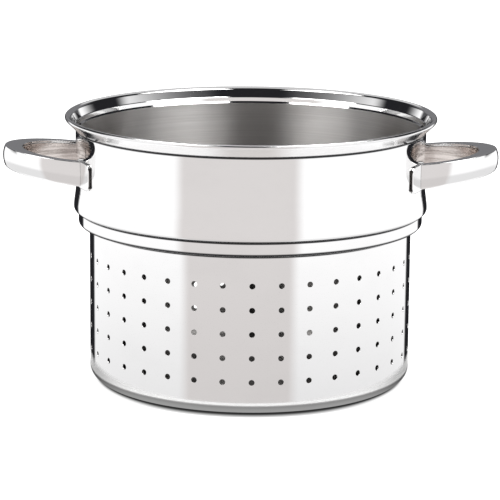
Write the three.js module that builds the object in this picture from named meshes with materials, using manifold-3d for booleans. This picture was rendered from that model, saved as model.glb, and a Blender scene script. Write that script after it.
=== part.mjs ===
// Pasta insert: a deep-drawn perforated basket that hangs in a pot's mouth by the bead under its collar,
// with two hollow side handles whose ends stand on foot plates that are spot-welded to the collar.
// Millimetres, +Z up, origin at the centre of the base's underside.
// The handles lie along X, and the front is -Y.

import * as THREE from "three";
import { mergeGeometries, mergeVertices } from "three/addons/utils/BufferGeometryUtils.js";
import Module from "manifold-3d";

const wasm = await Module();
wasm.setup();

// Clearance kept between pieces that lie against each other
const FIT_GAP = 0.3;

// Basket: its sheet, and radii that follow from the pot's mouth, whose lid fits the collar too
const SHEET = 0.8;
const MOUTH_RADIUS = 120;
const RING_CLEARANCE = 1;
const SHOULDER_WIDTH = 7.6;
const BEAD_OVERHANG = 3.2;

// Basket: heights, stacked from the base upwards
const BASKET_DEPTH = 108.6;
const RING_HEIGHT = 10;
const BEAD_HEIGHT = 4;
const BEAD_FADE = 10;
const COLLAR_HEIGHT = 41.8;

// Basket: the lip, which flares out to a rolled rim pressed shut
const LIP_HEIGHT = 9.6;
const LIP_OVERHANG = 7.7;
const RIM_ROUND = 1.9;
const RIM_STEPS = 5;

// Basket: rounded bends, by their outer radius
const BASE_BEND = 8;
const SHOULDER_BEND = 2.5;
const SEAT_BEND = 0.6;
const BEAD_BEND = 1.8;
const COLLAR_BEND = 6;

// Perforation of the wall, between a plain margin above the base and one under the shoulder
const HOLE_DIAMETER = 4;
const HOLE_SIDES = 6;
const CUTTER_LENGTH = 6;
const HOLE_COLUMNS = 36;
const HOLE_ROWS = 5;
const LOWER_MARGIN = 22.4;
const UPPER_MARGIN = 21;
const FIRST_COLUMN = THREE.MathUtils.degToRad(0.9);

// Perforation of the base, in rings of 6, 12, 18 ... holes round a plain centre, inside a plain margin
const BASE_RINGS = 4;
const BASE_MARGIN = 15.4;
const HOLES_PER_RING_STEP = 6;

// Handle: a half ellipse in plan, rising outwards
const HANDLE_SHEET = 1.6;
const HANDLE_REACH = 48.8;
const HANDLE_HALF_WIDTH = 41;
const HANDLE_DROP = 17.4;
const HANDLE_HEIGHT = 16.8;
const TOP_RISE = 4.9;
const BOTTOM_RISE = 6.8;
const ARM_THICKNESS = 6;
const GRIP_THICKNESS = 12;
const HANDLE_BULGE = 1.6;
const BULGE_LEVEL = 0.45;
const LOWER_EDGE = 2;
const UPPER_EDGE = 0.8;
const LINER_SHEET = 1;
const HANDLE_STATIONS = 20;

// Foot plates on the collar, which carry the handles' ends, and their spot welds
const FOOT_SHEET = 1.6;
const FOOT_LENGTH = 15.5;
const FOOT_MARGIN = 0.6;
const WELD_DIAMETER = 5;
const WELD_THICKNESS = 0.7;
const WELD_EDGE = 4;
const WELD_SIDES = 12;
const FOOT_FACETS = 6;

// Heights and radii that follow from the sizes above
const COLLAR_RADIUS = MOUTH_RADIUS + SHEET;
const RING_RADIUS = MOUTH_RADIUS - RING_CLEARANCE;
const BASKET_RADIUS = RING_RADIUS - SHOULDER_WIDTH;
const ROW_PITCH = (BASKET_DEPTH - LOWER_MARGIN - UPPER_MARGIN) / (HOLE_ROWS - 1);
const BASE_RING_PITCH = (BASKET_RADIUS - BASE_BEND - BASE_MARGIN) / BASE_RINGS;
const SEAT_Z = BASKET_DEPTH + RING_HEIGHT;
const COLLAR_Z = SEAT_Z + BEAD_HEIGHT + BEAD_FADE;
const FLARE_Z = COLLAR_Z + COLLAR_HEIGHT;
const FOOT_RADIUS = COLLAR_RADIUS + FIT_GAP;
const HANDLE_TOP_Z = FLARE_Z - HANDLE_DROP;
const HANDLE_BOTTOM_Z = HANDLE_TOP_Z - HANDLE_HEIGHT;

// Turns a closed geometry into a solid for joining and cutting
function solidOf(geometry) {
  const bare = geometry.index ? geometry.toNonIndexed() : geometry.clone();
  bare.deleteAttribute("normal");
  bare.deleteAttribute("uv");
  const merged = mergeVertices(bare, 1e-4);
  const triangles = [];
  const index = merged.index.array;
  for (let i = 0; i < index.length; i += 3) {
    const [a, b, c] = [index[i], index[i + 1], index[i + 2]];
    if (a !== b && b !== c && c !== a) triangles.push(a, b, c);
  }
  const vertProperties = Float32Array.from(merged.attributes.position.array);
  const triVerts = Uint32Array.from(triangles);
  return new wasm.Manifold(new wasm.Mesh({ numProp: 3, vertProperties, triVerts }));
}

// Turns a solid back into a geometry
function geometryOf(solid) {
  const { vertProperties, triVerts } = solid.getMesh();
  const geometry = new THREE.BufferGeometry();
  geometry.setAttribute("position", new THREE.BufferAttribute(vertProperties, 3));
  geometry.setIndex(new THREE.BufferAttribute(triVerts, 1));
  geometry.computeVertexNormals();
  return geometry;
}

// Rounds the corners of an open outline; each corner is { at: [r, z], bend: radius, steps: count }
function roundedOutline(corners) {
  const points = [];
  corners.forEach(({ at, bend = 0, steps = 1 }, i) => {
    const corner = new THREE.Vector2(...at);
    if (bend === 0) {
      points.push(corner);
      return;
    }
    const back = new THREE.Vector2(...corners[i - 1].at).sub(corner);
    const ahead = new THREE.Vector2(...corners[i + 1].at).sub(corner);
    const room = Math.min(back.length(), ahead.length()) / 2;
    const halfAngle = Math.acos(THREE.MathUtils.clamp(back.normalize().dot(ahead.normalize()), -1, 1)) / 2;
    const setback = Math.min(bend / Math.tan(halfAngle), room);
    const radius = setback * Math.tan(halfAngle);
    const towards = back.clone().add(ahead).normalize();
    const centre = corner.clone().addScaledVector(towards, radius / Math.sin(halfAngle));
    const from = corner.clone().addScaledVector(back, setback).sub(centre);
    const to = corner.clone().addScaledVector(ahead, setback).sub(centre);
    const turn = Math.atan2(from.cross(to), from.dot(to));
    for (let k = 0; k <= steps; k++) {
      points.push(from.clone().rotateAround(new THREE.Vector2(), (turn * k) / steps).add(centre));
    }
  });
  return points;
}

// Shifts an open outline to its left by a wall's thickness, keeping that thickness at every corner
function offsetOutline(points, distance) {
  const normals = points.slice(1).map((point, i) => {
    const along = point.clone().sub(points[i]).normalize();
    return new THREE.Vector2(-along.y, along.x);
  });
  return points.map((point, i) => {
    const before = normals[Math.max(i - 1, 0)];
    const after = normals[Math.min(i, normals.length - 1)];
    const mitre = before.clone().add(after).normalize();
    return point.clone().addScaledVector(mitre, distance / mitre.dot(after));
  });
}

// The basket's outer outline in the plane of radius and height, from the base's centre to the lip
function basketOutline() {
  const beadRadius = RING_RADIUS + BEAD_OVERHANG;
  return roundedOutline([
    { at: [0, 0] },
    { at: [BASKET_RADIUS, 0], bend: BASE_BEND, steps: 4 },
    { at: [BASKET_RADIUS, BASKET_DEPTH], bend: SHOULDER_BEND, steps: 2 },
    { at: [RING_RADIUS, BASKET_DEPTH], bend: SHOULDER_BEND, steps: 2 },
    { at: [RING_RADIUS, SEAT_Z], bend: SEAT_BEND },
    { at: [beadRadius, SEAT_Z], bend: BEAD_BEND, steps: 2 },
    { at: [beadRadius, SEAT_Z + BEAD_HEIGHT], bend: BEAD_BEND },
    { at: [COLLAR_RADIUS, COLLAR_Z], bend: COLLAR_BEND },
    { at: [COLLAR_RADIUS, FLARE_Z] },
  ]);
}

// The angle on a circle where a line from a point below it touches it, on the circle's outer (1) or inner (-1) side
function touchAngle(centre, radius, point, side) {
  const away = point.clone().sub(centre);
  return away.angle() + side * Math.acos(radius / away.length());
}

// The rim's outline: a round edge that the lip's outer and inner faces run into
function rimOutline(outerFoot, innerFoot) {
  const centre = new THREE.Vector2(
    COLLAR_RADIUS + LIP_OVERHANG - RIM_ROUND,
    FLARE_Z + LIP_HEIGHT - RIM_ROUND,
  );
  const start = touchAngle(centre, RIM_ROUND, outerFoot, 1) - 2 * Math.PI;
  const end = touchAngle(centre, RIM_ROUND, innerFoot, -1);
  return new THREE.EllipseCurve(centre.x, centre.y, RIM_ROUND, RIM_ROUND, start, end).getPoints(RIM_STEPS);
}

// A cutter for one hole, along Y, which passes the sheet on both sides
function holeCutter() {
  return new THREE.CylinderGeometry(HOLE_DIAMETER / 2, HOLE_DIAMETER / 2, CUTTER_LENGTH, HOLE_SIDES);
}

// Cutters for the wall's holes, one flat facet of the wall to each column
function wallHoles() {
  const holes = [];
  for (let column = 0; column < HOLE_COLUMNS; column++) {
    const angle = FIRST_COLUMN + (column * 2 * Math.PI) / HOLE_COLUMNS;
    for (let row = 0; row < HOLE_ROWS; row++) {
      const hole = holeCutter();
      hole.translate(0, -BASKET_RADIUS, LOWER_MARGIN + row * ROW_PITCH);
      hole.rotateZ(angle);
      holes.push(hole);
    }
  }
  return solidOf(mergeGeometries(holes));
}

// Cutters for the base's holes
function baseHoles() {
  const holes = [];
  for (let ring = 1; ring <= BASE_RINGS; ring++) {
    const count = ring * HOLES_PER_RING_STEP;
    for (let k = 0; k < count; k++) {
      const angle = (k * 2 * Math.PI) / count;
      const hole = holeCutter();
      hole.rotateX(Math.PI / 2);
      hole.translate(ring * BASE_RING_PITCH, 0, 0);
      hole.rotateZ(angle);
      holes.push(hole);
    }
  }
  return solidOf(mergeGeometries(holes));
}

// The basket: its outline turned round Z with the sheet's thickness, then perforated
function basketShell() {
  const outer = basketOutline();
  const inner = offsetOutline(outer, SHEET).reverse();
  const rim = rimOutline(outer.at(-1), inner[0]);
  const facet = (2 * Math.PI) / HOLE_COLUMNS;
  const sheet = new THREE.LatheGeometry([...outer, ...rim, ...inner], HOLE_COLUMNS, FIRST_COLUMN - facet / 2);
  sheet.rotateX(Math.PI / 2);
  return geometryOf(solidOf(sheet).subtract(wallHoles()).subtract(baseHoles()));
}

// Height of the handle's underside (share 0) or top (share 1) at a distance x from the basket's axis
function handleHeight(x, share) {
  const along = (x - COLLAR_RADIUS) / HANDLE_REACH;
  const bottom = HANDLE_BOTTOM_Z + BOTTOM_RISE * along;
  const top = HANDLE_TOP_Z + TOP_RISE * along;
  return THREE.MathUtils.lerp(bottom, top, share);
}

// Stations along the handle's outer edge in plan: straight arms out of the collar, joined by a half ellipse
function handleStations() {
  const stations = [];
  const armStart = Math.sqrt(COLLAR_RADIUS ** 2 - (HANDLE_HALF_WIDTH + HANDLE_BULGE) ** 2) - HANDLE_SHEET;
  for (let k = -1; k <= HANDLE_STATIONS + 1; k++) {
    const turn = Math.PI * (THREE.MathUtils.clamp(k / HANDLE_STATIONS, 0, 1) - 0.5);
    const onArm = k < 0 || k > HANDLE_STATIONS;
    const x = onArm ? armStart : COLLAR_RADIUS + HANDLE_REACH * Math.cos(turn);
    const outward = new THREE.Vector2(Math.cos(turn) / HANDLE_REACH, Math.sin(turn) / HANDLE_HALF_WIDTH);
    const thickness = THREE.MathUtils.lerp(ARM_THICKNESS, GRIP_THICKNESS, Math.cos(turn) ** 2);
    const edge = new THREE.Vector2(x, HANDLE_HALF_WIDTH * Math.sin(turn));
    stations.push({ edge, outward: outward.normalize(), thickness });
  }
  return stations;
}

// Skins a closed section along the handle; a section point is { depth, share, lift }:
// depth in from the outer edge, share of the handle's height there, and lift above that
function handleLoft(sectionAt) {
  const positions = [];
  const rings = handleStations().map((station) => {
    const section = sectionAt(station.thickness);
    for (const { depth, share, lift } of section) {
      const x = station.edge.x - depth * station.outward.x;
      const y = station.edge.y - depth * station.outward.y;
      positions.push(x, y, handleHeight(x, share) + lift);
    }
    return section;
  });
  const size = rings[0].length;
  const index = [];
  for (let ring = 0; ring < rings.length - 1; ring++) {
    for (let k = 0; k < size; k++) {
      const next = (k + 1) % size;
      const [a, b] = [ring * size + k, ring * size + next];
      index.push(a, b + size, a + size, a, b, b + size);
    }
  }
  const flat = rings[0].map((point) => {
    return new THREE.Vector2(point.depth, point.share * HANDLE_HEIGHT + point.lift);
  });
  const last = (rings.length - 1) * size;
  for (const [a, b, c] of THREE.ShapeUtils.triangulateShape(flat, [])) {
    index.push(a, c, b, last + a, last + b, last + c);
  }
  const geometry = new THREE.BufferGeometry();
  geometry.setAttribute("position", new THREE.Float32BufferAttribute(positions, 3));
  geometry.setIndex(index);
  return solidOf(geometry);
}

// The pressed handle's channel: a bulged outer wall between two flanges, open to the fingers
function channelSection(thickness) {
  const wall = HANDLE_SHEET;
  return [
    { depth: thickness, share: 0, lift: 0 },
    { depth: thickness, share: 0, lift: wall },
    { depth: wall + LOWER_EDGE / 2, share: 0, lift: wall },
    { depth: wall, share: 0, lift: wall + LOWER_EDGE / 2 },
    { depth: wall - HANDLE_BULGE, share: BULGE_LEVEL, lift: 0 },
    { depth: wall, share: 1, lift: -wall },
    { depth: thickness, share: 1, lift: -wall },
    { depth: thickness, share: 1, lift: 0 },
    { depth: UPPER_EDGE, share: 1, lift: 0 },
    { depth: 0, share: 1, lift: -UPPER_EDGE },
    { depth: -HANDLE_BULGE, share: BULGE_LEVEL, lift: 0 },
    { depth: 0, share: 0, lift: LOWER_EDGE },
    { depth: LOWER_EDGE, share: 0, lift: 0 },
  ];
}

// The strip that closes the channel, flush with the flanges' edges
function linerSection(thickness) {
  const inset = HANDLE_SHEET + FIT_GAP;
  return [
    { depth: thickness, share: 0, lift: inset },
    { depth: thickness, share: 1, lift: -inset },
    { depth: thickness - LINER_SHEET, share: 1, lift: -inset },
    { depth: thickness - LINER_SHEET, share: 0, lift: inset },
  ];
}

// Trims what stands on the foot plates to their outer face and a clearance
function trimmedToFeet(solid) {
  const radius = FOOT_RADIUS + FOOT_SHEET + FIT_GAP;
  const trim = new THREE.CylinderGeometry(radius, radius, 2 * FLARE_Z, 4 * HOLE_COLUMNS);
  trim.rotateX(Math.PI / 2);
  return solid.subtract(solidOf(trim));
}

function handleShell() {
  return geometryOf(trimmedToFeet(handleLoft(channelSection)));
}

function handleLiner() {
  return geometryOf(trimmedToFeet(handleLoft(linerSection)));
}

// A foot plate lies under one end of a handle, from the arm's inner face to a tab beyond its outer face
const FOOT_START = Math.asin((HANDLE_HALF_WIDTH - ARM_THICKNESS) / FOOT_RADIUS);
const TAB_START = Math.asin(HANDLE_HALF_WIDTH / FOOT_RADIUS);
const FOOT_END = TAB_START + FOOT_LENGTH / FOOT_RADIUS;
const ARM_END_X = FOOT_RADIUS * Math.cos(TAB_START);
const FOOT_BOTTOM_Z = handleHeight(ARM_END_X, 0) - FOOT_MARGIN;
const FOOT_TOP_Z = handleHeight(ARM_END_X, 1) + FOOT_MARGIN;

// A foot's welds lie side by side under its tab: one a set distance above its bottom, one below its top
const WELD_ANGLE = (TAB_START + FOOT_END) / 2;
const WELD_HEIGHTS = { lower: FOOT_BOTTOM_Z + WELD_EDGE, upper: FOOT_TOP_Z - WELD_EDGE };
const FOOT_SIDES = [-1, 1];

// A round disc at a weld on the -Y or +Y side, from one depth to another outwards from the foot's back
function weldDisc(radius, from, to, side, height) {
  const disc = new THREE.CylinderGeometry(radius, radius, to - from, WELD_SIDES);
  disc.rotateZ(-Math.PI / 2);
  disc.translate(FOOT_RADIUS + (from + to) / 2, 0, height);
  disc.rotateZ(side * WELD_ANGLE);
  return disc;
}

// One foot plate on the -Y or +Y side, pocketed behind for its welds
function handleFoot(side) {
  const plan = new THREE.Shape();
  plan.absarc(0, 0, FOOT_RADIUS + FOOT_SHEET, side * FOOT_START, side * FOOT_END, side < 0);
  plan.absarc(0, 0, FOOT_RADIUS, side * FOOT_END, side * FOOT_START, side > 0);
  const depth = FOOT_TOP_Z - FOOT_BOTTOM_Z;
  const plate = new THREE.ExtrudeGeometry(plan, { depth, bevelEnabled: false, curveSegments: FOOT_FACETS });
  plate.translate(0, 0, FOOT_BOTTOM_Z);
  return Object.values(WELD_HEIGHTS).reduce((foot, height) => {
    const pocket = weldDisc(WELD_DIAMETER / 2 + FIT_GAP, -FIT_GAP, WELD_THICKNESS + FIT_GAP, side, height);
    return foot.subtract(solidOf(pocket));
  }, solidOf(plate));
}

// Steel finishes
function polishedSteel() {
  return new THREE.MeshStandardMaterial({ color: 0xd9d9dc, roughness: 0.08, metalness: 1 });
}

function weldedSteel() {
  return new THREE.MeshStandardMaterial({ color: 0x9a9a9c, roughness: 0.5, metalness: 1 });
}

function namedMesh(name, geometry, material) {
  const mesh = new THREE.Mesh(geometry, material);
  mesh.name = name;
  return mesh;
}

// One handle with its liner, feet and welds, turned about the basket's axis to its side
function handle(name, turn) {
  const group = new THREE.Group();
  group.add(namedMesh(`${name}_handle_shell`, handleShell(), polishedSteel()));
  group.add(namedMesh(`${name}_handle_liner`, handleLiner(), polishedSteel()));
  for (const side of FOOT_SIDES) {
    const end = `${name}_${side * Math.cos(turn) < 0 ? "front" : "rear"}`;
    group.add(namedMesh(`${end}_foot`, geometryOf(handleFoot(side)), polishedSteel()));
    for (const [level, height] of Object.entries(WELD_HEIGHTS)) {
      const disc = weldDisc(WELD_DIAMETER / 2, 0, WELD_THICKNESS, side, height);
      group.add(namedMesh(`${end}_${level}_weld`, disc, weldedSteel()));
    }
  }
  group.rotation.z = turn;
  return group;
}

const pastaInsert = new THREE.Group();
pastaInsert.add(namedMesh("basket_shell", basketShell(), polishedSteel()));
pastaInsert.add(handle("right", 0));
pastaInsert.add(handle("left", Math.PI));

export default pastaInsert;
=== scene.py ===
"""Looks of a pasta insert: a polished steel basket with a perforated wall and two side handles.

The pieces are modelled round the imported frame, in metres with +Z up.
The handles lie along X, and the front is -Y.
"""

import math

import bpy
import numpy as np
from mathutils import Matrix, Vector


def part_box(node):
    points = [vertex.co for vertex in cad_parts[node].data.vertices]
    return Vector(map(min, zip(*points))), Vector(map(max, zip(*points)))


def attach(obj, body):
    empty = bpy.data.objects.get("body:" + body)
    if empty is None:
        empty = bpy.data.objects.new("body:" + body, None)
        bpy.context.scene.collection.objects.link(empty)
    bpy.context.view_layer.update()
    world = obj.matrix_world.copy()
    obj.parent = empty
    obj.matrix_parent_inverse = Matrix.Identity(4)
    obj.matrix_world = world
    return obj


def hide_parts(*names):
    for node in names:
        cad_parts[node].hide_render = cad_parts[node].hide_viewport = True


bl_info = {
    "name": "Pasta Insert",
    "version": (1, 0, 0),
    "blender": (4, 5, 0),
    "location": "3D View > Sidebar > Pasta Insert",
    "description": "Models a perforated steel pasta insert with side handles, and the studio it stands in",
    "category": "Object",
}

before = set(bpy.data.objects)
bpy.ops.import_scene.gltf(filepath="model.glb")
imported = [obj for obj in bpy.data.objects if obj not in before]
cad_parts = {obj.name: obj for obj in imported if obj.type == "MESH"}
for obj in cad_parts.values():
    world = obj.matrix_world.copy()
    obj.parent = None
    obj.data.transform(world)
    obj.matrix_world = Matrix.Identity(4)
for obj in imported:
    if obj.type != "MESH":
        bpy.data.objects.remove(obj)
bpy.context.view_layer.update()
BASKET_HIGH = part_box("basket_shell")[1]
HANDLE_LOW, HANDLE_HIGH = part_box("right_handle_shell")
FOOT_LOW, FOOT_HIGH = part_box("right_front_foot")
BODY = "root"
MM = 0.001
TOUCH = MM / 1000


# Settings that a user would change

def length(name, description, millimetres):
    """A length, with its default in millimetres."""
    return bpy.props.FloatProperty(
        name=name, description=description, default=millimetres * MM, unit="LENGTH", precision=5
    )


def angle(name, description, degrees):
    """An angle, with its default in degrees."""
    default = math.radians(degrees)
    return bpy.props.FloatProperty(name=name, description=description, default=default, unit="ROTATION")


def count(name, description, default):
    """A whole number of things."""
    return bpy.props.IntProperty(name=name, description=description, default=default, min=1)


def share(name, description, default):
    """A number from 0 to 1."""
    return bpy.props.FloatProperty(
        name=name, description=description, default=default, min=0.0, max=1.0, subtype="FACTOR"
    )


def colour(name, description, default):
    """A linear colour."""
    return bpy.props.FloatVectorProperty(
        name=name, description=description, default=default, size=3, min=0.0, soft_max=1.0, subtype="COLOR"
    )


class BasketSizes(bpy.types.PropertyGroup):
    """Sizes of the drawn and perforated basket."""

    sheet: length("Sheet", "Thickness of the steel sheet", 0.8)
    wall_radius: length("Wall radius", "Outside of the perforated wall", 111.4)
    ring_radius: length("Ring radius", "Outside of the ring above the shoulder, which enters the pot", 119.0)
    bead_radius: length("Bead radius", "Outside of the bead that hangs on the pot's mouth", 122.2)
    collar_radius: length("Collar radius", "Outside of the plain collar", 120.8)
    shoulder_height: length("Shoulder height", "Top of the perforated wall", 108.6)
    seat_height: length("Seat height", "Underside of the bead", 118.6)
    bead_top: length("Bead top", "Where the bead starts to fade into the collar", 122.6)
    collar_height: length("Collar height", "Where the bead has faded into the collar", 132.6)
    lip_start: length("Lip start", "Where the collar starts to thicken under the lip", 160.0)
    satin_top: length("Satin top", "Where the satin inside ends under the lip", 172.5)
    satin_radius: length("Satin radius", "Inside of the collar where the satin ends", 119.6)
    flare_height: length("Flare height", "Foot of the lip's outer face", 174.4)
    ledge_radius: length("Ledge radius", "Inside of the lip's lower facet, at its foot", 120.45)
    ledge_height: length("Ledge height", "Foot of the lip's lower facet", 173.8)
    step_radius: length("Step radius", "Inside of the lip's upper facet, at its foot", 121.2)
    step_height: length("Step height", "Foot of the lip's upper facet", 176.9)
    step_rise: length("Step rise", "Height of the small step between the facets", 0.5)
    step_depth: length("Step depth", "Depth of the small step between the facets", 0.35)
    rim_outside: length("Rim outside", "Outer radius of the rolled rim", 1.6)
    rim_inside: length("Rim inside", "Inner radius of the rolled rim", 2.6)
    rim_top: length("Rim top", "Width of the rim's nearly flat top", 0.9)
    rim_fall: length("Rim fall", "Fall of the rim's top towards the inside", 0.4)
    base_bend: length("Base bend", "Outer radius of the bend round the base", 8.0)
    shoulder_bend: length("Shoulder bend", "Outer radius of the bends at the shoulder", 2.0)
    seat_bend: length("Seat bend", "Outer radius of the corner under the bead", 0.5)
    bead_bend: length("Bead bend", "Outer radius of the bead's lower edge", 1.8)
    collar_bend: length("Collar bend", "Radius of the soft bends of the collar", 40.0)
    flare_bend: length("Flare bend", "Radius of the crease under the lip", 0.3)
    ledge_bend: length("Ledge bend", "Radius of the bends inside the lip", 0.25)
    edge_round: length("Edge round", "Rounding of the sheet's cut edges", 0.14)
    hole_diameter: length("Hole diameter", "Diameter of the round holes", 3.9)
    hole_columns: count("Hole columns", "Columns of holes round the wall", 36)
    hole_rows: count("Hole rows", "Rows of holes up the wall", 5)
    first_row: length("First row", "Height of the lowest row of holes", 22.4)
    row_pitch: length("Row pitch", "Distance between rows of holes", 16.3)
    first_column: angle("First column", "Angle of a column of holes from the front", 0.9)
    base_rings: count("Base rings", "Rings of holes in the base, of 6, 12, 18 and so on", 4)
    base_pitch: length("Base pitch", "Distance between the base's rings of holes", 22.0)


class HandleSizes(bpy.types.PropertyGroup):
    """Sizes of the hollow side handles and the plates that carry them."""

    reach: length("Reach", "Distance from the collar to the handle's outer edge", 48.8)
    half_width: length("Half width", "Half the handle's width across its arms", 41.0)
    thickness: length("Thickness", "Thickness of the grip in plan", 12.0)
    arm_thickness: length("Arm thickness", "Thickness of the arms in plan, at the collar", 6.0)
    root_bottom: length("Root bottom", "Height of the underside at the collar", 140.2)
    root_top: length("Root top", "Height of the top at the collar", 157.0)
    bottom_rise: length("Bottom rise", "Rise of the underside from the collar to the grip", 6.8)
    top_rise: length("Top rise", "Rise of the top from the collar to the grip", 4.9)
    bulge: length("Bulge", "Bulge of the outer face", 1.6)
    sheet: length("Sheet", "Thickness of the pressed channel", 1.6)
    lower_edge: length("Lower edge", "Rounding of the lower outer edge", 2.4)
    upper_edge: length("Upper edge", "Rounding of the upper outer edge", 0.7)
    flange_edge: length("Flange edge", "Rounding of the flanges' edges", 0.3)
    liner: length("Liner", "Thickness of the strip that closes the channel", 1.0)
    seam: length("Seam", "Gap along the liner's edges", 0.25)
    arm_start: length("Arm start", "Straight start of the arms", 3.0)
    foot_sheet: length("Foot sheet", "Thickness of the foot plates", 1.6)
    foot_length: length("Foot length", "Length of a foot plate's tab past the arm", 15.5)
    foot_corner: length("Foot corner", "Rounding of the tab's corners", 4.0)
    foot_edge: length("Foot edge", "Rounding of the foot plates' edges", 0.5)
    contact: length("Contact", "Hairline gap between welded pieces", 0.05)


class FinishSettings(bpy.types.PropertyGroup):
    """Colours and gloss of the steel, with the painted shade in its creases, at the foot plates' ends and
    low inside the basket.
    """

    polished: colour("Polished steel", "Colour of the mirror finish", (0.88, 0.876, 0.872))
    worn: colour("Worn polish", "Colour where the polish is a little dull", (0.86, 0.856, 0.852))
    satin: colour("Satin steel", "Colour of the brushed inside", (0.74, 0.7215, 0.7067))
    streak: colour("Streak", "Colour of the darker brush streaks", (0.64, 0.6215, 0.6067))
    # Painted shade: the satin inside turns this dark low down, where the inside of the basket lies in shade
    inner_shade: colour("Dull steel", "Colour of the drawn sheet low inside the basket", (0.17, 0.165, 0.16))
    # Painted shade: a near-black colour laid in the creases under the lip, the bead and the shoulder, and at
    # the dark end of the foot plates' painted end shade
    crease_shade: colour("Crease", "Colour in the creases, which the polish doesn't reach", (0.03, 0.03, 0.032))
    strip: colour("Strip", "Colour of the brushed strips that close the handles", (0.8, 0.735, 0.7))
    strip_streak: colour("Strip streak", "Colour of the strips' darker streaks", (0.48, 0.43, 0.4))
    weld: colour("Weld", "Colour of the spot welds", (0.4, 0.385, 0.375))
    # Painted shade on the foot plates' upright ends, which stands in for the dark gap against the collar
    cut: colour("Cut edge", "Colour of the foot plates' cut ends", (0.12, 0.115, 0.11))
    polish: share("Polish roughness", "Roughness of the mirror finish", 0.045)
    lip_polish: share("Lip roughness", "Roughness of the lip's outer face", 0.15)
    brush: share("Brush roughness", "Roughness of the brushed inside", 0.37)
    grain: share("Brush direction", "How far the brushing stretches reflections", 1.0)


class StudioSettings(bpy.types.PropertyGroup):
    """The light round the object, the floor and the camera."""

    side: colour("Side cards", "Colour of the white cards at both sides", (1.17, 1.17, 1.18))
    lamp: colour("Lamps", "Colour of the two soft lamps overhead", (4.4, 4.4, 4.4))
    front: colour("Front card", "Colour of the grey card in front", (0.80, 0.77, 0.765))
    flag: colour("Flag", "Colour of the black flags", (0.018, 0.018, 0.021))
    rear: colour("Rear", "Colour of the dim room behind", (0.2, 0.2, 0.21))
    sky: colour("Sky", "Colour of the pale ceiling behind", (0.66, 0.66, 0.67))
    front_left: angle("Front card's left", "Left edge of the front card", -47.0)
    front_right: angle("Front card's right", "Right edge of the front card", 31.5)
    card_fade: angle("Card fade", "Width of the cards' soft edges", 9.0)
    floor: colour("Floor", "Colour of the pale floor", (0.55, 0.55, 0.55))
    floor_glow: share("Floor glow", "Light that the sweep gives the floor in the picture", 1.0)
    # The floor's contact shadow is painted: the width of its dark edge, and its darkest colour next to the
    # base
    contact_shadow: length("Contact shadow", "Width of the dark edge in front of the base", 14.0)
    contact: colour("Contact", "Colour of the floor where the base touches it", (0.02, 0.02, 0.02))
    floor_size: length("Floor size", "Side of the floor", 6000.0)
    lens: bpy.props.FloatProperty(
        name="Lens", description="Focal length on a 36 mm sensor", default=182.47, unit="CAMERA"
    )
    camera_distance: length("Camera distance", "Distance of the camera in front of the axis", 1725.9)
    camera_height: length("Camera height", "Height of the camera above the floor", 464.7)
    camera_pitch: angle("Camera pitch", "How far the camera looks down", 12.319)
    camera_roll: angle("Camera roll", "How far the camera is turned about its view", 0.467)


# Modelling helpers

BEND_STEP = math.radians(9)
LONG_STRETCH = 4
SHARP = math.radians(40)


def edit(select_all=False):
    """Opens the active piece in edit mode, with all of it selected if asked."""
    bpy.ops.object.mode_set(mode="EDIT")
    if select_all:
        bpy.ops.mesh.select_all(action="SELECT")


def leave_edit():
    """Goes back to object mode."""
    bpy.ops.object.mode_set(mode="OBJECT")


def apply_place():
    """Moves the active piece's place and turn into its mesh."""
    bpy.ops.object.transform_apply(location=True, rotation=True, scale=True)


def spin(steps, turn, **settings):
    """Turns what is selected about the basket's axis, or another upright one."""
    bpy.ops.mesh.spin(steps=steps, angle=turn, axis=(0, 0, 1), **{"center": (0, 0, 0), **settings})


def start_piece(name, add_primitive, **settings):
    """Adds a primitive that is alone in the selection, with its place in its mesh."""
    bpy.ops.object.select_all(action="DESELECT")
    add_primitive(**settings)
    apply_place()
    piece = bpy.context.object
    piece.name = name
    piece.data.name = name
    return piece


def pick(piece):
    """Makes a piece the only selected and active one."""
    leave_edit()
    bpy.ops.object.select_all(action="DESELECT")
    piece.select_set(True)
    bpy.context.view_layer.objects.active = piece


def select_where(piece, test):
    """Opens a piece in edit mode with the vertices selected whose place passes a test."""
    leave_edit()
    mesh = piece.data
    chosen = [bool(test(vertex.co)) for vertex in mesh.vertices]
    mesh.vertices.foreach_set("select", chosen)
    mesh.edges.foreach_set("select", [all(chosen[v] for v in edge.vertices) for edge in mesh.edges])
    mesh.polygons.foreach_set("select", [all(chosen[v] for v in face.vertices) for face in mesh.polygons])
    edit()


def shape_with(piece, kind, **settings):
    """Adds a modifier with these settings and applies it."""
    pick(piece)
    modifier = piece.modifiers.new(kind.title(), kind)
    for key, value in settings.items():
        setattr(modifier, key, value)
    bpy.ops.object.modifier_apply(modifier=modifier.name)


def mend_surface(piece, distance):
    """Merges doubled vertices and turns all faces outwards."""
    pick(piece)
    edit(select_all=True)
    bpy.ops.mesh.remove_doubles(threshold=distance)
    bpy.ops.mesh.normals_make_consistent(inside=False)
    leave_edit()


def turn_outwards(piece):
    """Turns an open sheet's faces away from the basket's axis."""
    outermost = max(piece.data.polygons, key=lambda face: face.center.xy.length)
    if outermost.normal.xy.dot(outermost.center.xy) < 0:
        piece.data.flip_normals()


def round_edges(piece, width, segments):
    """Rounds a piece's sharp edges."""
    shape_with(piece, "BEVEL", width=width, segments=segments, limit_method="ANGLE", angle_limit=SHARP)


def smooth(piece):
    """Shades a piece smooth, apart from its sharp edges, with large faces kept true."""
    pick(piece)
    bpy.ops.object.shade_smooth_by_angle(angle=SHARP)
    shape_with(piece, "WEIGHTED_NORMAL", mode="FACE_AREA", keep_sharp=True)


def draw_chain(name, points):
    """Draws an open chain of edges through points, by extruding a vertex."""
    piece = start_piece(name, bpy.ops.mesh.primitive_plane_add, size=MM, location=points[0])
    edit()
    bpy.ops.mesh.merge(type="CENTER")
    for here, there in zip(points, points[1:]):
        bpy.ops.mesh.extrude_vertices_move(TRANSFORM_OT_translate={"value": there - here})
    return piece


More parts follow.
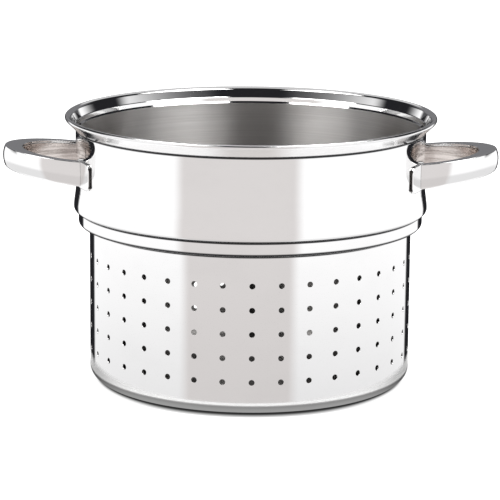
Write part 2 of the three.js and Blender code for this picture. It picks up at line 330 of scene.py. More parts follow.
def rounded_outline(corners):
    """Points of an outline in a plane, whose corners are (across, up, bend radius)."""
    points = []
    for i, (across, up, bend) in enumerate(corners):
        corner = Vector((across, up))
        if bend == 0:
            points.append(corner)
            continue
        back = (Vector(corners[i - 1][:2]) - corner).normalized()
        ahead = (Vector(corners[(i + 1) % len(corners)][:2]) - corner).normalized()
        half = back.angle(ahead) / 2
        centre = corner + (back + ahead).normalized() * (bend / math.sin(half))
        start = corner + back * (bend / math.tan(half)) - centre
        turn = math.copysign(math.pi - 2 * half, back.cross(ahead))
        steps = max(2, math.ceil(abs(turn) / BEND_STEP))
        points += [centre + Matrix.Rotation(-turn * k / steps, 2) @ start for k in range(steps + 1)]
    return points


def add_supports(points, distance):
    """Adds a point close to both ends of each long straight stretch, to hold its shading flat."""
    held = [points[0]]
    for here, there in zip(points, points[1:]):
        along = there - here
        if along.length > LONG_STRETCH * distance:
            held.append(here + along.normalized() * distance)
            held.append(there - along.normalized() * distance)
        held.append(there)
    return held


def settle(piece, slot, *nodes):
    """Makes a finished piece ride on the object's body in place of its CAD nodes."""
    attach(piece, BODY)
    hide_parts(*nodes)


# Material helpers

# A mix node's sockets for colours
MIX_FACTOR, MIX_FIRST, MIX_SECOND = 0, 6, 7
MIX_RESULT = 2


def add_node(tree, kind, inputs=None, **settings):
    """Adds a node whose inputs are values, or sockets to link."""
    node = tree.nodes.new(kind)
    for key, value in settings.items():
        setattr(node, key, value)
    for key, value in (inputs or {}).items():
        if isinstance(value, bpy.types.NodeSocket):
            tree.links.new(value, node.inputs[key])
        else:
            node.inputs[key].default_value = value
    return node


def calculate(tree, operation, *values):
    """The result of a math node."""
    return add_node(tree, "ShaderNodeMath", dict(enumerate(values)), operation=operation).outputs[0]


def product(tree, *values):
    """Several values multiplied together."""
    result = values[0]
    for value in values[1:]:
        result = calculate(tree, "MULTIPLY", result, value)
    return result


def part_of(tree, vector, axis):
    """One part of a vector."""
    return add_node(tree, "ShaderNodeSeparateXYZ", {"Vector": vector}).outputs[axis]


def ramp(tree, value, start, end, low=0.0, high=1.0):
    """A smooth rise from low, where value is start, to high, where it is end."""
    inputs = {"Value": value, "From Min": start, "From Max": end, "To Min": low, "To Max": high}
    node = add_node(tree, "ShaderNodeMapRange", inputs, interpolation_type="SMOOTHSTEP")
    return node.outputs["Result"]


def between(tree, value, low, high, fade):
    """1 between two limits and 0 outside them, with soft edges."""
    rise = ramp(tree, value, low - fade / 2, low + fade / 2)
    fall = ramp(tree, value, high - fade / 2, high + fade / 2, 1.0, 0.0)
    return product(tree, rise, fall)


def blend(tree, factor, first, second):
    """A mix of two colours."""
    inputs = {MIX_FACTOR: factor, MIX_FIRST: opaque(first), MIX_SECOND: opaque(second)}
    return add_node(tree, "ShaderNodeMix", inputs, data_type="RGBA").outputs[MIX_RESULT]


def edge_at(tree, value, degrees, fade):
    """1 below an angle and 0 above it, with a soft edge, both in degrees."""
    return ramp(tree, value, math.radians(degrees - fade / 2), math.radians(degrees + fade / 2), 1.0, 0.0)


def opaque(value):
    """A colour with its alpha, or a socket as it is."""
    return value if isinstance(value, bpy.types.NodeSocket) else (*value, 1.0)


def start_material(name):
    """A new material with a shader, its tree, and the piece's own coordinates."""
    material = bpy.data.materials.new(name)
    material.use_nodes = True
    tree = material.node_tree
    shader = tree.nodes["Principled BSDF"]
    shader.inputs["Metallic"].default_value = 1.0
    place = add_node(tree, "ShaderNodeTexCoord").outputs["Object"]
    return material, tree, shader, place


def stretched_noise(tree, place, scale, detail=4.0, roughness=0.6):
    """Noise on stretched coordinates, from 0 to 1."""
    mapped = add_node(tree, "ShaderNodeMapping", {"Vector": place, "Scale": scale}).outputs["Vector"]
    inputs = {"Vector": mapped, "Scale": 1.0, "Detail": detail, "Roughness": roughness}
    return add_node(tree, "ShaderNodeTexNoise", inputs).outputs["Fac"]


# Finishes

# How finely the noise of a pattern runs along X, Y and Z, per metre
POLISH_LINES = (9.0, 9.0, 2600.0)
WIPE_MARKS = (26.0, 26.0, 40.0)
BRUSH_LINES = (5.0, 5.0, 1500.0)
BRUSH_BANDS = (7.0, 7.0, 160.0)
END_SHADE_GRAIN = (700.0, 700.0, 200.0)
STRIP_STREAKS = (22.0, 22.0, 420.0)
WELD_MOTTLE = (900.0, 900.0, 900.0)

# The stretch of the noise over which a colour or a roughness changes
WORN_WIPE = (0.42, 0.75)
ROUGH_WIPE = (0.3, 0.8)
BRUSH_STREAK = (0.12, 0.42)
ROUGH_BRUSH = (0.25, 0.75)
STRIP_STREAK = (0.35, 0.6)
GRAIN = (0.3, 0.7)

# Roughness at both ends of that stretch, as a share of the finish's own or as it is
POLISH_SPREAD = (0.9, 1.3)
BRUSH_SPREAD = (0.85, 1.2)
STRIP_ROUGHNESS = (0.28, 0.16)
CUT_ROUGHNESS = (0.3, 0.5)
WELD_ROUGHNESS = (0.35, 0.6)

# Strength and depth of the fine relief
POLISH_BUMP = (0.012, 0.2 * MM)
BRUSH_BUMP = (0.05, 0.3 * MM)

ALONG_BRUSHING = 0.25
# Painted shade low inside the basket: below this height the satin fades to the inner shade colour
INNER_SHADE_BELOW = 106 * MM
INNER_SHADE_FADE = 10 * MM


def set_steel(tree, shader, base, roughness):
    """Links a steel's colour and roughness to its shader."""
    tree.links.new(base, shader.inputs["Base Color"])
    tree.links.new(roughness, shader.inputs["Roughness"])


def set_relief(tree, shader, height, strength, depth):
    """Gives a steel a fine relief."""
    bump = add_node(tree, "ShaderNodeBump", {"Height": height, "Strength": strength, "Distance": depth})
    tree.links.new(bump.outputs["Normal"], shader.inputs["Normal"])


def polished_steel(name, finish, roughness, crease_shades=()):
    """Mirror-polished steel with faint polishing lines, wipe marks and painted shade in creases at given
    heights.
    """
    material, tree, shader, place = start_material(name)
    wipe = stretched_noise(tree, place, WIPE_MARKS)
    lines = stretched_noise(tree, place, POLISH_LINES, detail=2.0)
    base = blend(tree, ramp(tree, wipe, *WORN_WIPE), finish.polished, finish.worn)
    height = part_of(tree, place, "Z")
    # Painted shade: each crease band is darkened with the crease shade colour
    for low, high, fade in crease_shades:
        base = blend(tree, between(tree, height, low, high, fade), base, finish.crease_shade)
    spread = [roughness * part for part in POLISH_SPREAD]
    set_steel(tree, shader, base, ramp(tree, wipe, *ROUGH_WIPE, *spread))
    set_relief(tree, shader, lines, *POLISH_BUMP)
    return material


def satin_steel(name, finish):
    """Steel brushed round the basket's axis, with fine streaks, and painted shade low down inside."""
    material, tree, shader, place = start_material(name)
    lines = stretched_noise(tree, place, BRUSH_LINES, detail=3.0)
    bands = stretched_noise(tree, place, BRUSH_BANDS)
    base = blend(tree, ramp(tree, product(tree, lines, bands), *BRUSH_STREAK), finish.streak, finish.satin)
    height = part_of(tree, place, "Z")
    # Painted shade low down inside
    base = blend(tree, ramp(tree, height, INNER_SHADE_BELOW - INNER_SHADE_FADE, INNER_SHADE_BELOW), finish.inner_shade, base)
    spread = [finish.brush * part for part in BRUSH_SPREAD]
    set_steel(tree, shader, base, ramp(tree, lines, *ROUGH_BRUSH, *spread))
    shader.inputs["Anisotropic"].default_value = finish.grain
    shader.inputs["Anisotropic Rotation"].default_value = ALONG_BRUSHING
    tangent = add_node(tree, "ShaderNodeTangent", direction_type="RADIAL", axis="Z")
    tree.links.new(tangent.outputs["Tangent"], shader.inputs["Tangent"])
    set_relief(tree, shader, lines, *BRUSH_BUMP)
    return material


def grained_steel(name, pattern, stretch, dark, light, roughness):
    """Unpolished steel, whose colour and roughness follow one grain."""
    material, tree, shader, place = start_material(name)
    grain = stretched_noise(tree, place, pattern)
    base = blend(tree, ramp(tree, grain, *stretch), dark, light)
    set_steel(tree, shader, base, ramp(tree, grain, *GRAIN, *roughness))
    return material


# Basket

HOLE_SIDES = 20
CELL_CUTS = HOLE_SIDES // 4 - 1
CELL_RINGS = 2
SUPPORT = 0.4 * MM
MERGE = 0.03 * MM
FINE_MERGE = 0.003 * MM
RIM_STEPS = 14
LIP_FOOT = 1.2 * MM
HOLES_PER_RING = 6

# Painted crease shade: how far each dark band reaches below and above its crease's height, and its fade
SHOULDER_CREASE_SHADE = (2.2 * MM, 1.8 * MM, 0.8 * MM)
SEAT_CREASE_SHADE = (1.5 * MM, 1.0 * MM, 0.6 * MM)
LIP_CREASE_SHADE = (0.8 * MM, 1.0 * MM, 0.6 * MM)

# The basket's materials, by their place in its list
POLISHED, SATIN, SHADED_LIP = range(3)


def crease_shade_at(height, crease_shade):
    """The lower and upper end of a band of painted crease shade, and its fade."""
    below, above, fade = crease_shade
    return height - below, height + above, fade


def hole_cell(sizes):
    """A flat cell of the wall with the lowest hole of the front column in its middle."""
    half_width = sizes.wall_radius * math.tan(math.pi / sizes.hole_columns)
    middle = Vector((0, -sizes.wall_radius, sizes.first_row))
    upright = (math.pi / 2, 0, 0)
    plane = bpy.ops.mesh.primitive_plane_add
    cell = start_piece("perforated_wall", plane, size=2, location=middle, rotation=upright)
    edit()
    bpy.ops.transform.resize(value=(half_width, 1, sizes.row_pitch / 2), center_override=middle)
    bpy.ops.mesh.subdivide(number_cuts=CELL_CUTS)
    bpy.ops.mesh.region_to_loop()
    bpy.ops.mesh.select_all(action="INVERT")
    bpy.ops.mesh.delete(type="VERT")
    bpy.ops.mesh.primitive_circle_add(
        vertices=HOLE_SIDES, radius=sizes.hole_diameter / 2, location=middle, rotation=upright
    )
    bpy.ops.mesh.select_all(action="SELECT")
    bpy.ops.mesh.bridge_edge_loops(number_cuts=CELL_RINGS, interpolation="LINEAR")
    leave_edit()
    return cell


def perforated_wall(sizes):
    """The band of the wall that has holes: one cell, stacked, turned round the axis and made round."""
    wall = hole_cell(sizes)
    stack = {"use_relative_offset": False, "use_constant_offset": True}
    pitch = (0, 0, sizes.row_pitch)
    shape_with(wall, "ARRAY", count=sizes.hole_rows, constant_offset_displace=pitch, **stack)
    edit(select_all=True)
    copies = sizes.hole_columns - 1
    spin(copies, math.tau * copies / sizes.hole_columns, dupli=True)
    leave_edit()
    make_round = {"cast_type": "CYLINDER", "use_radius_as_size": False, "use_z": False}
    shape_with(wall, "CAST", factor=1.0, size=sizes.wall_radius, **make_round)
    return wall


def lower_outline(sizes):
    """The plain stretch from the base's flat to the lowest cells."""
    cells_start = sizes.first_row - sizes.row_pitch / 2
    return rounded_outline(
        [
            (sizes.wall_radius - sizes.base_bend - SUPPORT, 0, 0),
            (sizes.wall_radius, 0, sizes.base_bend),
            (sizes.wall_radius, cells_start, 0),
        ]
    )


def upper_outline(sizes):
    """The plain stretch from the highest cells to the lip."""
    cells_end = sizes.first_row + sizes.row_pitch * (sizes.hole_rows - 0.5)
    return rounded_outline(
        [
            (sizes.wall_radius, cells_end, 0),
            (sizes.wall_radius, sizes.shoulder_height, sizes.shoulder_bend),
            (sizes.ring_radius, sizes.shoulder_height, sizes.shoulder_bend),
            (sizes.ring_radius, sizes.seat_height, sizes.seat_bend),
            (sizes.bead_radius, sizes.seat_height, sizes.bead_bend),
            (sizes.bead_radius, sizes.bead_top, sizes.collar_bend / 2),
            (sizes.collar_radius, sizes.collar_height, sizes.collar_bend),
            (sizes.collar_radius, sizes.lip_start, 0),
        ]
    )


def touch_angle(centre, radius, foot, side):
    """The angle at which a line from a foot below a circle touches its outer (1) or inner (-1) side."""
    away = foot - centre
    return math.atan2(away.y, away.x) + side * math.acos(radius / away.length)


def arc(centre, radius, start, end):
    """Points along an arc of the rim."""
    turns = [start + (end - start) * k / RIM_STEPS for k in range(RIM_STEPS + 1)]
    return [centre + radius * Vector((math.cos(turn), math.sin(turn))) for turn in turns]


def lip_outline(sizes):
    """The lip: up its outer face, over the rolled rim and down the two facets inside."""
    inside = sizes.collar_radius - sizes.sheet
    bend = sizes.ledge_bend
    outer = Vector((BASKET_HIGH.y - sizes.rim_outside, BASKET_HIGH.z - sizes.rim_outside))
    inner = Vector((outer.x - sizes.rim_top, BASKET_HIGH.z - sizes.rim_fall - sizes.rim_inside))
    outer_foot = Vector((sizes.collar_radius, sizes.flare_height))
    inner_foot = Vector((sizes.step_radius, sizes.step_height))
    start = touch_angle(outer, sizes.rim_outside, outer_foot, 1)
    end = touch_angle(inner, sizes.rim_inside, inner_foot, -1) + math.tau
    apart = inner - outer
    over = math.acos((sizes.rim_outside - sizes.rim_inside) / apart.length)
    top = math.atan2(apart.y, apart.x) - over + math.tau
    rim = arc(outer, sizes.rim_outside, start, top) + arc(inner, sizes.rim_inside, top, end)
    outside = [
        (sizes.collar_radius, sizes.lip_start, 0),
        (sizes.collar_radius, sizes.flare_height - LIP_FOOT, 0),
        (*outer_foot, sizes.flare_bend),
        (*rim[0], 0),
    ]
    within = [
        (*rim[-1], 0),
        (*inner_foot, bend),
        (sizes.step_radius - sizes.step_depth, sizes.step_height - sizes.step_rise, bend),
        (sizes.ledge_radius, sizes.ledge_height, bend),
        (sizes.satin_radius, sizes.satin_top, bend),
        (inside, sizes.lip_start, 0),
    ]
    return rounded_outline(outside) + rim[1:-1] + rounded_outline(within)


def turned_band(name, outline, sizes):
    """An outline turned round the axis, in step with the wall's cells."""
    start = math.pi / sizes.hole_columns
    side = Vector((math.sin(start), -math.cos(start)))
    band = draw_chain(name, [Vector((*(side * r), z)) for r, z in add_supports(outline, SUPPORT)])
    bpy.ops.mesh.select_all(action="SELECT")
    spin(sizes.hole_columns * (CELL_CUTS + 1), math.tau)
    leave_edit()
    return band


def add_base(basket, sizes):
    """Fills the base as one flat sheet round its rings of holes."""
    hole_radius = sizes.hole_diameter / 2
    pick(basket)
    edit()
    for ring in range(1, sizes.base_rings + 1):
        place = (ring * sizes.base_pitch, 0, 0)
        bpy.ops.mesh.primitive_circle_add(vertices=HOLE_SIDES, radius=hole_radius, location=place)
        holes = HOLES_PER_RING * ring
        spin(holes - 1, math.tau * (holes - 1) / holes, dupli=True)
    border = sizes.wall_radius - sizes.base_bend - SUPPORT
    select_where(basket, lambda place: place.z < MERGE and place.xy.length < border + MERGE)
    bpy.ops.mesh.fill(use_beauty=True)
    leave_edit()


def add_lip(basket, sizes, finish):
    """Puts the polished lip on the collar, in place of the sheet's top edge."""
    top = sizes.lip_start
    face_foot = sizes.flare_height - LIP_FOOT
    select_where(basket, lambda place: abs(place.z - top) < MERGE)
    bpy.ops.mesh.delete(type="ONLY_FACE")
    leave_edit()
    lip = turned_band("lip", lip_outline(sizes), sizes)
    mend_surface(lip, MERGE)
    turn_outwards(lip)
    # The lip's outer face carries the painted shade in the crease at its foot
    crease_shade = crease_shade_at(sizes.flare_height, LIP_CREASE_SHADE)
    shaded_lip_steel = polished_steel("lip_crease_shade_steel", finish, finish.lip_polish, [crease_shade])
    for steel in (*basket.data.materials, shaded_lip_steel):
        lip.data.materials.append(steel)
    for face in lip.data.polygons:
        if face.normal.xy.dot(face.center.xy) > 0:
            face.material_index = SHADED_LIP if face.center.z > face_foot else POLISHED
        else:
            face.material_index = SATIN if face.center.z < sizes.satin_top else POLISHED
    pick(basket)
    lip.select_set(True)
    bpy.ops.object.join()
    select_where(basket, lambda place: abs(place.z - top) < MERGE)
    bpy.ops.mesh.remove_doubles(threshold=MERGE)
    leave_edit()


def true_wall_normals(basket, sizes):
    """Shades the straight wall as a true cylinder, whatever its faces round the holes are."""
    mesh = basket.data
    corners = len(mesh.loops)
    normals = np.empty(corners * 3)
    mesh.corner_normals.foreach_get("vector", normals)
    normals = normals.reshape(-1, 3)
    vertex_of = np.empty(corners, dtype=int)
    mesh.loops.foreach_get("vertex_index", vertex_of)
    places = np.empty(len(mesh.vertices) * 3)
    mesh.vertices.foreach_get("co", places)
    places = places.reshape(-1, 3)[vertex_of]
    radii = np.hypot(places[:, 0], places[:, 1])
    out = np.c_[places[:, :2] / np.maximum(radii, MERGE)[:, None], np.zeros(corners)]
    facing = (normals * out).sum(1)
    depth = sizes.wall_radius - radii
    on_face = np.minimum(abs(depth), abs(depth - sizes.sheet)) < MERGE
    top = sizes.shoulder_height - sizes.shoulder_bend
    straight = (places[:, 2] > sizes.base_bend) & (places[:, 2] < top)
    chosen = on_face & straight & (abs(facing) > math.cos(SHARP))
    normals[chosen] = out[chosen] * np.sign(facing[chosen])[:, None]
    mesh.normals_split_custom_set(normals)


class PASTAINSERT_OT_basket(bpy.types.Operator):
    """Model the drawn basket, with its holes, shoulder, bead, collar and lip"""

    bl_idname = "pasta_insert.basket"
    bl_label = "Basket"
    bl_options = {"REGISTER", "UNDO"}

    def execute(self, context):
        sizes = context.scene.basket_sizes
        finish = context.scene.finish_settings
        bands = [
            turned_band("lower_band", lower_outline(sizes), sizes),
            turned_band("upper_band", upper_outline(sizes), sizes),
        ]
        basket = perforated_wall(sizes)
        pick(basket)
        for band in bands:
            band.select_set(True)
        bpy.ops.object.join()
        basket.name = "basket"
        basket.data.name = "basket"
        mend_surface(basket, MERGE)
        add_base(basket, sizes)
        mend_surface(basket, FINE_MERGE)
        turn_outwards(basket)
        # Painted shade in the creases under the shoulder and the bead
        crease_shades = [
            crease_shade_at(sizes.shoulder_height, SHOULDER_CREASE_SHADE),
            crease_shade_at(sizes.seat_height, SEAT_CREASE_SHADE),
        ]
        basket.data.materials.append(polished_steel("polished_basket_steel", finish, finish.polish, crease_shades))
        basket.data.materials.append(satin_steel("brushed_inside_steel", finish))
        inside = {"material_offset": SATIN, "material_offset_rim": POLISHED}
        shape_with(basket, "SOLIDIFY", thickness=sizes.sheet, offset=-1.0, use_even_offset=True, **inside)
        add_lip(basket, sizes, finish)
        round_edges(basket, sizes.edge_round, segments=2)
        basket.rotation_euler.z = sizes.first_column
        pick(basket)
        apply_place()
        smooth(basket)
        true_wall_normals(basket, sizes)
        settle(basket, "basket_steel", "basket_shell")
        return {"FINISHED"}


# Handles

HANDLE_STEPS = 56
BULGE_STEPS = 8
CAGE_WIDTHS = 4
FEET_SIDES = 432
FEET_HEIGHTS = 3
END_ROUND = 0.12 * MM


def bulged_face(bottom, top, depth, bulge):
    """Points up a face that bulges outwards as a shallow arc, without its two ends."""
    chord = top - bottom
    radius = chord * chord / (8 * bulge) + bulge / 2
    half = math.asin(chord / 2 / radius)
    turns = [half * (2 * k / BULGE_STEPS - 1) for k in range(1, BULGE_STEPS)]
    middle = (bottom + top) / 2
    centre = depth - bulge + radius
    return [(centre - radius * math.cos(turn), middle + radius * math.sin(turn), 0) for turn in turns]


def channel_section(sizes):
    """The pressed channel's section, in depth from the outer edge and height."""
    bottom, top, wall, depth = sizes.root_bottom, sizes.root_top, sizes.sheet, sizes.thickness
    edge = sizes.flange_edge
    inside = bulged_face(bottom + wall, top - wall, wall, sizes.bulge)
    return rounded_outline(
        [
            (depth, bottom, edge),
            (0, bottom, sizes.lower_edge),
            *bulged_face(bottom, top, 0, sizes.bulge),
            (0, top, sizes.upper_edge),
            (depth, top, edge),
            (depth, top - wall, edge),
            (wall, top - wall, 0),
            *reversed(inside),
            (wall, bottom + wall, 0),
            (depth, bottom + wall, edge),
        ]
    )


def liner_section(sizes):
    """The closing strip's section, flush with the flanges."""
    inset = sizes.sheet + sizes.seam
    bottom, top, depth = sizes.root_bottom + inset, sizes.root_top - inset, sizes.thickness
    edge = sizes.flange_edge
    return rounded_outline(
        [
            (depth, bottom, edge),
            (depth - sizes.liner, bottom, 0),
            (depth - sizes.liner, top, 0),
            (depth, top, edge),
        ]
    )


def tilt_handle(piece, sizes, root):
    """Tilts the handle's top and underside by a cage of eight points round it."""
    end = HANDLE_HIGH.x
    start = HANDLE_LOW.x - sizes.thickness
    height = sizes.root_top - sizes.root_bottom
    bpy.ops.object.select_all(action="DESELECT")
    middle = ((start + end) / 2, 0, (sizes.root_bottom + sizes.root_top) / 2)
    bpy.ops.object.add(type="LATTICE", location=middle)
    cage = bpy.context.object
    cage.scale = (end - start, CAGE_WIDTHS * sizes.half_width, height)
    for axis in "uvw":
        setattr(cage.data, f"points_{axis}", 2)
        setattr(cage.data, f"interpolation_type_{axis}", "KEY_LINEAR")
    for point in cage.data.points:
        along = (middle[0] + point.co.x * cage.scale.x - root) / sizes.reach
        rise = sizes.top_rise if point.co.z > 0 else sizes.bottom_rise
        point.co_deform.z = point.co.z + rise * along / height
    shape_with(piece, "LATTICE", object=cage)
    bpy.data.objects.remove(cage)


def shape_in_plan(piece, sizes, collar):
    """Draws a half round ring in to the handle's width, and thins it from the grip to the arms."""
    thinning = 1 - sizes.arm_thickness / sizes.thickness
    goal = (sizes.half_width - (1 - thinning) * sizes.reach) / thinning
    bpy.ops.object.select_all(action="DESELECT")
    bpy.ops.object.empty_add(location=(collar, 0, 0))
    middle = bpy.context.object
    across = {"cast_type": "CYLINDER", "use_radius_as_size": False, "use_x": False, "use_z": False}
    shape_with(piece, "CAST", object=middle, factor=thinning, size=goal, **across)
    bpy.data.objects.remove(middle)


def draw_arms(piece, sizes, collar):
    """Runs the ring's ends on as straight arms, closes them and fits them to the foot plates' faces."""
    radius = collar + sizes.contact + sizes.foot_sheet + sizes.contact
    select_where(piece, lambda place: place.x < collar + TOUCH)
    bpy.ops.mesh.extrude_edges_move(TRANSFORM_OT_translate={"value": (-sizes.arm_start, 0, 0)})
    end = collar - sizes.arm_start / 2
    for side in (-1, 1):
        select_where(piece, lambda place: place.x < end and place.y * side > 0)
        bpy.ops.mesh.edge_face_add()
    mend_surface(piece, TOUCH)
    select_where(piece, lambda place: place.x < end)
    bpy.ops.object.vertex_group_assign_new()
    leave_edit()
    cylinder = bpy.ops.mesh.primitive_cylinder_add
    tall = FEET_HEIGHTS * BASKET_HIGH.z
    feet = start_piece("feet", cylinder, vertices=FEET_SIDES, radius=radius, depth=tall)
    inwards = {"use_project_x": True, "use_negative_direction": True, "use_positive_direction": False}
    ends = piece.vertex_groups[0].name
    shape_with(piece, "SHRINKWRAP", target=feet, wrap_method="PROJECT", vertex_group=ends, **inwards)
    bpy.data.objects.remove(feet)
    piece.vertex_groups.clear()


def swept_handle(name, section, sizes, collar):
    """A section swept along the right handle: an arm, half an ellipse and an arm."""
    places = [Vector((collar, sizes.reach - depth, height)) for depth, height in section]
    piece = draw_chain(name, places)
    ends = (places[0], places[-1])
    select_where(piece, lambda place: min((place - end).length for end in ends) < TOUCH)
    bpy.ops.mesh.edge_face_add()
    bpy.ops.mesh.select_all(action="SELECT")
    spin(HANDLE_STEPS, math.pi, center=(collar, 0, 0))
    leave_edit()
    shape_in_plan(piece, sizes, collar)
    draw_arms(piece, sizes, collar)
    tilt_handle(piece, sizes, collar)
    round_edges(piece, END_ROUND, segments=2)
    smooth(piece)
    return piece


def turned_copy(piece, name):
    """A copy with its own mesh, turned half round the basket's axis."""
    pick(piece)
    bpy.ops.object.duplicate(linked=False)
    copy = bpy.context.object
    copy.name = name
    copy.data.name = name
    copy.rotation_euler.z = math.pi
    apply_place()
    return copy


def settle_both(right, node, opposite):
    """Settles a piece of the right handle, and a copy of it turned to the left."""
    left = turned_copy(right, f"left_{opposite}_piece")
    settle(right, "handle_steel", f"right_{node}")
    settle(left, "handle_steel", f"left_{opposite}")


class PASTAINSERT_OT_handles(bpy.types.Operator):
    """Model both hollow handles and the strips that close them"""

    bl_idname = "pasta_insert.handles"
    bl_label = "Handles"
    bl_options = {"REGISTER", "UNDO"}

    def execute(self, context):
        sizes = context.scene.handle_sizes
        collar = context.scene.basket_sizes.collar_radius
        finish = context.scene.finish_settings
        polished = polished_steel("polished_handle_steel", finish, finish.polish)
        streaks = (finish.strip_streak, finish.strip)
        brushed = grained_steel(
            "brushed_strip_steel", STRIP_STREAKS, STRIP_STREAK, *streaks, STRIP_ROUGHNESS
        )
        parts = (
            ("handle_shell", channel_section(sizes), polished),
            ("handle_liner", liner_section(sizes), brushed),
        )
        for node, section, steel in parts:
            right = swept_handle(f"right_{node}_piece", section, sizes, collar)
            right.data.materials.append(steel)
            settle_both(right, node, node)
        return {"FINISHED"}


# Feet and welds

CORNER_STEPS = 3
PLATE_STEPS = 10

# An end's faces: how far they may lean up or down, and how far outwards, as a part of their normal
END_SLOPE = 0.6
END_FACING = 0.1


def foot_columns(sizes, collar):
    """Columns of a foot plate, each an angle from the X axis and a height, which round the tab's corners."""
    radius = collar + sizes.contact
    start = math.asin((sizes.half_width - sizes.arm_thickness) / radius)
    end = math.asin(sizes.half_width / radius) + sizes.foot_length / radius
    full = FOOT_HIGH.z - FOOT_LOW.z
    bend = sizes.foot_corner
    corner_start = end - bend / radius
    columns = [(start + (corner_start - start) * k / PLATE_STEPS, full) for k in range(PLATE_STEPS + 1)]
    for k in range(1, CORNER_STEPS + 1):
        turn = math.pi / 2 * k / CORNER_STEPS
        lost = 2 * bend * (1 - math.cos(turn))
        columns.append((corner_start + bend * math.sin(turn) / radius, full - lost))
    return columns


def foot_plate(name, side, sizes, collar):
    """A curved plate on the collar at the right, on the -Y or +Y side, drawn out column by column."""
    radius = collar + sizes.contact
    middle = (FOOT_LOW.z + FOOT_HIGH.z) / 2
    columns = foot_columns(sizes, collar)

    def place_at(turn):
        return Vector((radius * math.cos(turn), side * radius * math.sin(turn), middle))

    first, height = columns[0]
    up = Vector((0, 0, height / 2))
    piece = draw_chain(name, [place_at(first) - up, place_at(first) + up])
    for (before, tall), (after, low) in zip(columns, columns[1:]):
        here = place_at(before)
        select_where(piece, lambda spot: (spot.xy - here.xy).length < TOUCH)
        bpy.ops.mesh.extrude_edges_move(TRANSFORM_OT_translate={"value": place_at(after) - here})
        bpy.ops.transform.resize(value=(1, 1, low / tall), center_override=(0, 0, middle))
    leave_edit()
    mend_surface(piece, TOUCH)
    turn_outwards(piece)
    shape_with(piece, "SOLIDIFY", thickness=sizes.foot_sheet, offset=1.0, use_even_offset=True)
    round_edges(piece, sizes.foot_edge, segments=3)
    smooth(piece)
    return piece


def paint_end_shade(plate):
    """Gives a foot plate's upright ends, but for their rounded outer edge, the second material, which paints
    shade on them.
    """
    for face in plate.data.polygons:
        outwards = face.normal.xy.dot(face.center.xy.normalized())
        face.material_index = int(abs(face.normal.z) < END_SLOPE and outwards < END_FACING)


class PASTAINSERT_OT_feet(bpy.types.Operator):
    """Model the four foot plates, and finish the spot welds behind them"""

    bl_idname = "pasta_insert.feet"
    bl_label = "Feet and Welds"
    bl_options = {"REGISTER", "UNDO"}

    def execute(self, context):
        sizes = context.scene.handle_sizes
        finish = context.scene.finish_settings
        collar = context.scene.basket_sizes.collar_radius
        steel = polished_steel("polished_foot_steel", finish, finish.polish)
        # The plates' ends get painted shade, mottled from the crease shade's colour to the end shade's
        cut = grained_steel("painted_end_shade_steel", END_SHADE_GRAIN, GRAIN, finish.crease_shade, finish.cut, CUT_ROUGHNESS)
        for side, node, opposite in ((-1, "front_foot", "rear_foot"), (1, "rear_foot", "front_foot")):
            right = foot_plate(f"right_{node}_piece", side, sizes, collar)
            right.data.materials.append(steel)
            right.data.materials.append(cut)
            paint_end_shade(right)
            settle_both(right, node, opposite)
        shades = (finish.crease_shade, finish.weld)
        weld = grained_steel("spot_weld_steel", WELD_MOTTLE, GRAIN, *shades, WELD_ROUGHNESS)
        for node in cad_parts.values():
            if node.name.endswith("_weld"):
                node.data.materials.clear()
                node.data.materials.append(weld)
        return {"FINISHED"}


# Studio

# The light round the object: limits with their fades in degrees, round the object or above the horizon
CARD_TOP = (18, 5)
LOW_SIDE = (-149, 151, 5)
LOW_SIDE_TOP = (9, 8)
HIGH_SIDE = (28, 99, 14)
HIGH_SIDE_TOP = (27, 20)
REAR_TOP = (28, 6)
REAR_FOOT = (3, 6)
REAR_SIDE = (149, 22)
UNDER_TOP = (-55, 10)
LOW_TOP = (-13.9, 6)
LOW_FOOT = (-36, 16)

# The ceiling: limits with their fades, to the right and to the rear, in heights of the ceiling
RIGHT_LAMP = (0.24, 1.05, 0.04)
LEFT_LAMP = (-1.05, -0.42, 0.04)
LAMP_DEPTH = (-0.95, 0.2, 0.06)
SKY_WIDTH = (-0.5, 0.5, 0.3)
SKY_DEPTH = (-0.1, 2.7, 0.1)

# Where the ceiling starts, as the upright part of a direction, and the card's width below the object
LAMP_START = (0.35, 0.45)
SKY_START = (0.3, 0.4)
LOWEST_CEILING = 0.1
UNDER_CARD = (0.12, 0.32)

# Light lost low down, beside the front card and on it
LOW_LOSS = (0.25, 0.1)


